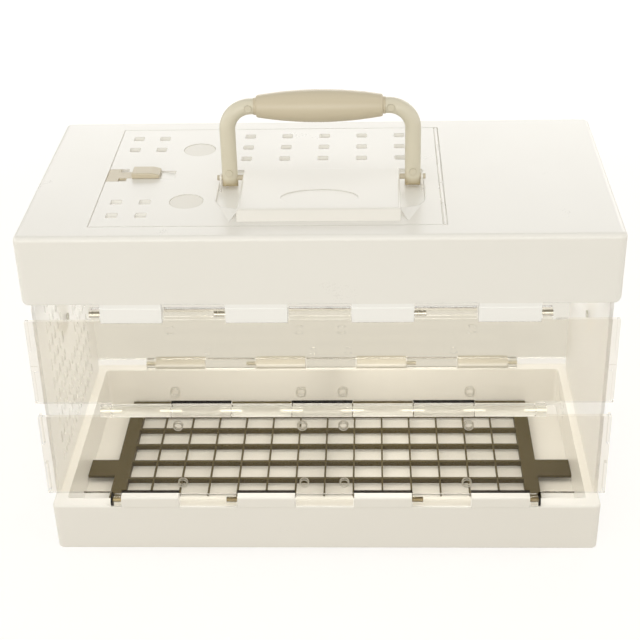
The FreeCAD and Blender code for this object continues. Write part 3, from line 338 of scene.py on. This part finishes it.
def rings_group():
    """Mask of the small round moulding rings in two rows of a leaf."""
    low_z, high_z = LOWER_RINGS_Z
    ins = [("Low row", NUMBER, low_z), ("High row", NUMBER, high_z)]
    group, n, given, sink = new_group("moulding_rings", ins, [("Ring", NUMBER)])
    place = n.axes("Object")
    side = n.size(place["X"])
    rings = 0.0
    for middle in RING_X:
        across = n.math("SUBTRACT", side, middle)
        for row in ("Low row", "High row"):
            up = n.math("SUBTRACT", place["Z"], given[row])
            rings = n.either(rings, n.math("COMPARE", n.diagonal(across, up), RING_R, RING_LINE))
    n.set(sink, "Ring", rings)
    return group


def knuckle_group():
    """Mask of the round knuckles along the hinge line at mid height, which get painted light."""
    ins = [("Axis height", NUMBER, MIDDLE_HINGE_Z), ("Radius", NUMBER, KNUCKLE_ZONE_R)]
    group, n, given, sink = new_group("knuckle_zone", ins, [("Zone", NUMBER)])
    place = n.axes("Object")
    out = n.math("SUBTRACT", n.size(place["Y"]), HINGE_Y)
    up = n.math("SUBTRACT", place["Z"], given["Axis height"])
    n.set(sink, "Zone", n.math("LESS_THAN", n.diagonal(out, up), given["Radius"]))
    return group


MOULDED = moulded_group()
RUBBED = edge_group()
JOINT_SHADOW_MASK = joint_shadow_group()
RINGS = rings_group()
KNUCKLES = knuckle_group()


def blank_material(name):
    """Material with only a Principled shader; gives the material, its nodes and the shader."""
    material = bpy.data.materials.new(name)
    material.use_nodes = True
    shader = material.node_tree.nodes["Principled BSDF"]
    return material, Nodes(material.node_tree), shader


def light_passes(n, shader, share, solid=1.0):
    """Lets a share of the lamps' light and of the light from pale surfaces through a piece."""
    path = n.add("ShaderNodeLightPath").outputs
    unseen = n.either(path["Is Shadow Ray"], path["Is Diffuse Ray"])
    n.set(shader, "Alpha", n.math("SUBTRACT", solid, n.math("MULTIPLY", unseen, share), clamp=True))


def back_row_shade_mask(n):
    """Inner side of the tray's back tabs, where a darker colour paints the shade of the wall above."""
    place = n.axes("Object")
    behind = n.math("GREATER_THAN", place["Y"], BACK_ROW_Y)
    raised = n.math("GREATER_THAN", place["Z"], BACK_ROW_Z)
    inward = n.math("LESS_THAN", n.axes("Normal")["Y"], TAB_INNER_FACING)
    return n.both(n.both(behind, raised), inward)


def block_front_shade_mask(n):
    """Front of the lid's raised block, picked by the way it faces, where a darker colour paints its shade.
    """
    raised = n.math("GREATER_THAN", n.axes("Object")["Z"], LID_TOP_Z)
    forward = n.math("LESS_THAN", n.axes("Normal")["Y"], BLOCK_FRONT_FACING)
    return n.both(raised, forward)


def cover_tab_light_mask(n):
    """Hinge tabs below the cover's edge, given painted light that makes them brighter than the cover's
    front.
    """
    return n.math("LESS_THAN", n.axes("Object")["Z"], COVER_EDGE_Z)


def recess_light_mask(n):
    """Wells and air holes, below the lid's top, painted lighter to lift the shade that falls in them."""
    return n.math("LESS_THAN", n.axes("Object")["Z"], LID_TOP_Z)


def foot_shade_mask(n):
    """Lower feet of the handle's bail, where painted shade grows darker downwards."""
    return n.remap(n.axes("Object")["Z"], FOOT_DARK_Z, FOOT_LIGHT_Z, 1.0, 0.0)


def sheet_edge_mask(n):
    """Narrow edges of a leaf, which face up, down or to a side."""
    facing = n.axes("Normal")
    level = n.math("GREATER_THAN", n.size(facing["Z"]), SHEET_EDGE_FACING)
    upright = n.math("GREATER_THAN", n.size(facing["X"]), SHEET_EDGE_FACING)
    return n.either(level, upright)


def knuckle_end_mask(n):
    """Outer ends of the knuckle row at the tray, which get the same painted shadow as the joint lines."""
    place = n.axes("Object")
    at_end = n.math("COMPARE", n.size(place["X"]), KNUCKLE_END_X, KNUCKLE_END_LINE)
    low = n.math("LESS_THAN", place["Z"], LOWER_HINGE_Z + KNUCKLE_TOP_RISE)
    return n.both(at_end, low)


def moulded_material(name, colour, shade, drift, smooth, rough, grain=FINE_GRAIN, bump=FINE_BUMP,
                     specular=0.5, glow=0.0, light_and_shade_marks=()):
    """Moulded plastic with lighter rubbed edges and marks of painted light and shade; glow lets light
    through.
    """
    material, n, shader = blank_material(name)
    skin = n.effect(MOULDED, Colour=colour, Shade=shade, Drift=drift, Grain_size=grain,
                    Smooth=smooth, Rough=rough)
    wear = n.effect(RUBBED, Reach=WEAR_REACH, Gain=WEAR_GAIN)
    shown = n.mix(wear["Edge"], skin["Colour"], colour)
    # Marks of painted light and shade over the plastic's colour
    for mask, tone in light_and_shade_marks:
        shown = n.mix(mask(n), shown, tone)
    bumped = n.add("ShaderNodeBump", Strength=bump, Distance=BUMP_DEPTH, Height=skin["Height"],
                   Normal=wear["Rounded"])
    n.set(shader, "Base Color", shown)
    n.set(shader, "Roughness", skin["Roughness"])
    n.set(shader, "Specular IOR Level", specular)
    n.set(shader, "Normal", bumped.outputs[0])
    if glow:
        light_passes(n, shader, glow)
    return material


def metal_material(name, colour, tarnish, smooth, rough):
    """Drawn metal pin, dulled in patches."""
    material, n, shader = blank_material(name)
    skin = n.effect(MOULDED, Colour=colour, Shade=tarnish, Drift=PIN_DRIFT, Grain_size=PIN_GRAIN,
                    Smooth=smooth, Rough=rough)
    bumped = n.add("ShaderNodeBump", Strength=PIN_BUMP, Distance=PIN_BUMP_DEPTH, Height=skin["Height"])
    n.set(shader, "Base Color", skin["Colour"])
    n.set(shader, "Roughness", skin["Roughness"])
    n.set(shader, "Metallic", 1.0)
    n.set(shader, "Normal", bumped.outputs[0])
    return material


def clear_material(name, tint, shade, rings_z=None, joint=None, dark_ends=False):
    """Clear plastic with a warm tint, and rough knuckles with painted light: a paler tint and a glow, though
    they are no lamp; rings and painted shadow lines at the joints where given.
    """
    material, n, shader = blank_material(name)
    skin = n.effect(MOULDED, Colour=tint, Shade=shade, Drift=CLEAR_DRIFT, Grain_size=CLEAR_GRAIN,
                    Smooth=0.0, Rough=CLEAR_ROUGH)
    colour, rough = skin["Colour"], skin["Roughness"]
    edge = sheet_edge_mask(n)
    if rings_z:
        low_z, high_z = rings_z
        ring = n.effect(RINGS, Low_row=low_z, High_row=high_z)["Ring"]
        colour = n.mix(ring, colour, RING_TINT)
        rough = n.remap(ring, 0.0, 1.0, CLEAR_ROUGH, RING_ROUGH)
    if joint:
        edge_z, shift, reach = joint
        dark = n.effect(JOINT_SHADOW_MASK, Edge_height=edge_z, Shift=shift, Reach=reach)["Line"]
        if dark_ends:
            dark = n.either(dark, knuckle_end_mask(n))
        # Painted shadow along the joint lines, and at the knuckle row's ends where asked
        colour = n.mix(dark, colour, JOINT_PAINTED_SHADOW)
        edge = n.math("SUBTRACT", edge, dark, clamp=True)
    # Painted light in the knuckles: a paler tint and a small glow, though they are no lamp
    zone = n.effect(KNUCKLES, Axis_height=MIDDLE_HINGE_Z, Radius=KNUCKLE_ZONE_R)["Zone"]
    rough = n.math("ADD", rough, n.math("MULTIPLY", zone, KNUCKLE_ROUGH), clamp=True)
    n.set(shader, "Base Color", n.mix(zone, colour, KNUCKLE_LIT_TINT))
    n.set(shader, "Roughness", rough)
    n.set(shader, "Emission Color", n.mix(zone, NO_GLOW, KNUCKLE_PAINTED_GLOW))
    n.set(shader, "Emission Strength", 1.0)
    n.set(shader, "Transmission Weight", 1.0)
    n.set(shader, "IOR", CLEAR_IOR)
    solid = n.math("SUBTRACT", 1.0, n.math("MULTIPLY", edge, SHEET_EDGE_FADE))
    light_passes(n, shader, CLEAR_PASSES, solid)
    return material


def milky_material(name):
    """Half-clear plastic with faint upright flow bands."""
    material, n, shader = blank_material(name)
    stretched = n.add("ShaderNodeMapping", Vector=n.coordinate("Object"), Scale=(1.0, 1.0, BAND_STRETCH))
    flow = n.noise(stretched.outputs[0], BAND_SCALE, detail=3.0)
    band = n.remap(flow, *BAND_SPAN, 0.0, BAND_SHARE)
    skin = n.effect(MOULDED, Colour=MILKY, Shade=MILKY_SHADE, Drift=MILKY_DRIFT, Grain_size=MILKY_GRAIN,
                    Smooth=MILKY_SMOOTH, Rough=MILKY_ROUGH)
    n.set(shader, "Base Color", n.mix(band, skin["Colour"], MILKY_SHADE))
    n.set(shader, "Roughness", skin["Roughness"])
    n.set(shader, "Transmission Weight", MILKY_CLEAR)
    n.set(shader, "IOR", MILKY_IOR)
    light_passes(n, shader, MILKY_PASSES)
    return material


def floor_material():
    """White floor that keeps the carrier's soft shadow."""
    material, n, shader = blank_material("studio_floor")
    away = n.vector_math("LENGTH", n.coordinate("Object"))
    level = n.remap(away, FLOOR_NEAR_M, FLOOR_FAR_M, FLOOR_NEAR_GLOW, FLOOR_FAR_GLOW)
    path = n.add("ShaderNodeLightPath").outputs
    direct = n.math("MULTIPLY", path["Is Camera Ray"], level)
    mirrored = n.either(path["Is Glossy Ray"], path["Is Transmission Ray"])
    mirrored = n.math("MULTIPLY", mirrored, FLOOR_NEAR_GLOW)
    n.set(shader, "Base Color", FLOOR_GREY)
    n.set(shader, "Roughness", FLOOR_ROUGH)
    n.set(shader, "Specular IOR Level", FLOOR_SPECULAR)
    n.set(shader, "Emission Color", WHITE)
    n.set(shader, "Emission Strength", n.either(direct, mirrored))
    return material


def studio_floor():
    """Wide square floor under the carrier."""
    corners = [(x * FLOOR_HALF_M, y * FLOOR_HALF_M, 0) for x, y in ((-1, -1), (1, -1), (1, 1), (-1, 1))]
    mesh = bpy.data.meshes.new("floor")
    mesh.from_pydata(corners, [], [(0, 1, 2, 3)])
    mesh.materials.append(floor_material())
    ground = bpy.data.objects.new("floor", mesh)
    bpy.context.scene.collection.objects.link(ground)
    return ground


def studio_world():
    """Even white surroundings, with a lower level of light on the object."""
    world = bpy.data.worlds.new("studio")
    bpy.context.scene.world = world
    world.use_nodes = True
    n = Nodes(world.node_tree)
    sky = world.node_tree.nodes["Background"]
    path = n.add("ShaderNodeLightPath").outputs
    seen = n.either(n.either(path["Is Camera Ray"], path["Is Glossy Ray"]), path["Is Transmission Ray"])
    n.set(sky, "Color", SKY_WHITE)
    n.set(sky, "Strength", n.remap(seen, 0.0, 1.0, SKY_LIGHT, SKY_SEEN))


def area_light(name, at, aim, size, watts):
    """Soft oblong lamp that looks from one point to another."""
    light = bpy.data.lights.new(name, "AREA")
    light.shape = "RECTANGLE"
    light.size, light.size_y = size
    light.energy = watts
    lamp = bpy.data.objects.new(name, light)
    bpy.context.scene.collection.objects.link(lamp)
    lamp.location = at
    lamp.rotation_euler = (Vector(aim) - Vector(at)).to_track_quat("-Z", "Y").to_euler()
    return lamp


def cabin_lights():
    """Soft lamps inside the cabin that light only its own pieces, and aren't seen themselves."""
    cabin = bpy.data.collections.new("cabin_pieces")
    for piece in CABIN_PIECES:
        cabin.objects.link(NODES[piece])
    for settings in CABIN_LAMPS:
        lamp = area_light(*settings)
        lamp.visible_camera = lamp.visible_glossy = lamp.visible_transmission = False
        lamp.light_linking.receiver_collection = cabin


def photo_camera():
    """Camera fitted to the photograph."""
    yaw, pitch, roll = (math.radians(angle) for angle in (CAMERA_YAW, CAMERA_PITCH, CAMERA_ROLL))
    forward = Vector((math.sin(yaw) * math.cos(pitch), math.cos(yaw) * math.cos(pitch), -math.sin(pitch)))
    level_right = Vector((math.cos(yaw), -math.sin(yaw), 0))
    level_up = level_right.cross(forward)
    right = math.cos(roll) * level_right + math.sin(roll) * level_up
    up = -math.sin(roll) * level_right + math.cos(roll) * level_up
    camera = bpy.data.objects.new("photo_camera", bpy.data.cameras.new("photo_camera"))
    bpy.context.scene.collection.objects.link(camera)
    turn = Matrix((right, up, -forward)).transposed().to_4x4()
    camera.matrix_world = Matrix.Translation(CAMERA_AT) @ turn
    camera.data.sensor_width = SENSOR_MM
    camera.data.lens = SENSOR_MM * FOCAL_PX / PHOTO_PX
    camera.data.clip_start = CAMERA_NEAR
    bpy.context.scene.camera = camera


# Finishes by material slot
FINISHES = {
    "cream_plastic": moulded_material("cream_plastic", CREAM, CREAM_SHADE, **GLOSS_CREAM),
    "port_plastic": moulded_material("port_plastic", PORT_CREAM, PORT_SHADE, **GLOSS_PORT),
    "beige_plastic": moulded_material("beige_plastic", BEIGE, BEIGE_SHADE, **SATIN_BEIGE),
    "grate_plastic": moulded_material("grate_plastic", GRATE_BROWN, GRATE_SHADE, **SATIN_GRATE),
    "brass_pin": metal_material("brass_pin", PIN_BRASS, PIN_TARNISH, smooth=0.3, rough=0.5),
    "steel_pin": metal_material("steel_pin", STEEL, STEEL_SHADE, smooth=0.2, rough=0.35),
    "milky_plastic": milky_material("milky_plastic"),
}

# Own finish of a few pieces, some with painted light and shade
OWN_FINISHES = {
    # The front leaves carry painted shadow lines along their lower edges, and the lower one also at the
    # knuckle row's ends.
    "front_lower_panel": clear_material("clear_front_lower", FRONT_TINT, FRONT_SHADE,
                                        LOWER_RINGS_Z, LOWER_JOINT_SHADOW, dark_ends=True),
    "front_upper_panel": clear_material("clear_front_upper", FRONT_TINT, FRONT_SHADE,
                                        UPPER_RINGS_Z, UPPER_JOINT_SHADOW),
    # The back leaves' darker tint is painted shade.
    "back_lower_panel": clear_material("clear_back_lower", BACK_SHADED_TINT, BACK_SHADED_TONE),
    "back_upper_panel": clear_material("clear_back_upper", BACK_SHADED_TINT, BACK_SHADED_TONE),
    "back_bottom_pins": metal_material("pale_pin", PALE_STEEL, PALE_STEEL_SHADE, smooth=0.5, rough=0.65),
    # The tray's back tabs get painted shade on their inner side.
    "base_tray": moulded_material("tray_plastic", TRAY_CREAM, TRAY_SHADE, **GLOSS_CREAM,
                                  light_and_shade_marks=[(back_row_shade_mask, TRAY_TAB_PAINTED_SHADE)]),
    # The cover's hinge tabs get painted light.
    "cover_shell": moulded_material("cover_plastic", CREAM, CREAM_SHADE, **GLOSS_CREAM,
                                    light_and_shade_marks=[(cover_tab_light_mask, TAB_PAINTED_LIGHT)]),
    # The lid's block front gets painted shade, and its wells and air holes get painted light.
    "lid_panel": moulded_material("lid_plastic", CREAM, CREAM_SHADE, **GLOSS_CREAM,
                                  light_and_shade_marks=[(block_front_shade_mask, LID_FRONT_PAINTED_SHADE), (recess_light_mask, LID_RECESS_PAINTED_LIGHT)]),
    # The bail's lower feet get painted shade.
    "handle_bail": moulded_material("bail_plastic", BAIL_BEIGE, BAIL_SHADE, **SATIN_BEIGE,
                                    light_and_shade_marks=[(foot_shade_mask, BAIL_FOOT_PAINTED_SHADE)]),
    "handle_screws": moulded_material("screw_plastic", SCREW_BEIGE, BAIL_SHADE, **SATIN_BEIGE),
    "handle_pivot_pins": moulded_material("pivot_plastic", PIVOT_BEIGE, PIVOT_SHADE, **SATIN_PIVOT),
}

for row in frame["record"]["subparts"]:
    piece = NODES[row["node"]]
    piece.data.materials.clear()
    piece.data.materials.append(OWN_FINISHES.get(row["node"]) or FINISHES[row["material_slot"]])

floor = studio_floor()

studio_world()
for settings in STUDIO_LAMPS:
    area_light(*settings)
cabin_lights()
photo_camera()
bpy.context.scene.view_settings.view_transform = "Standard"
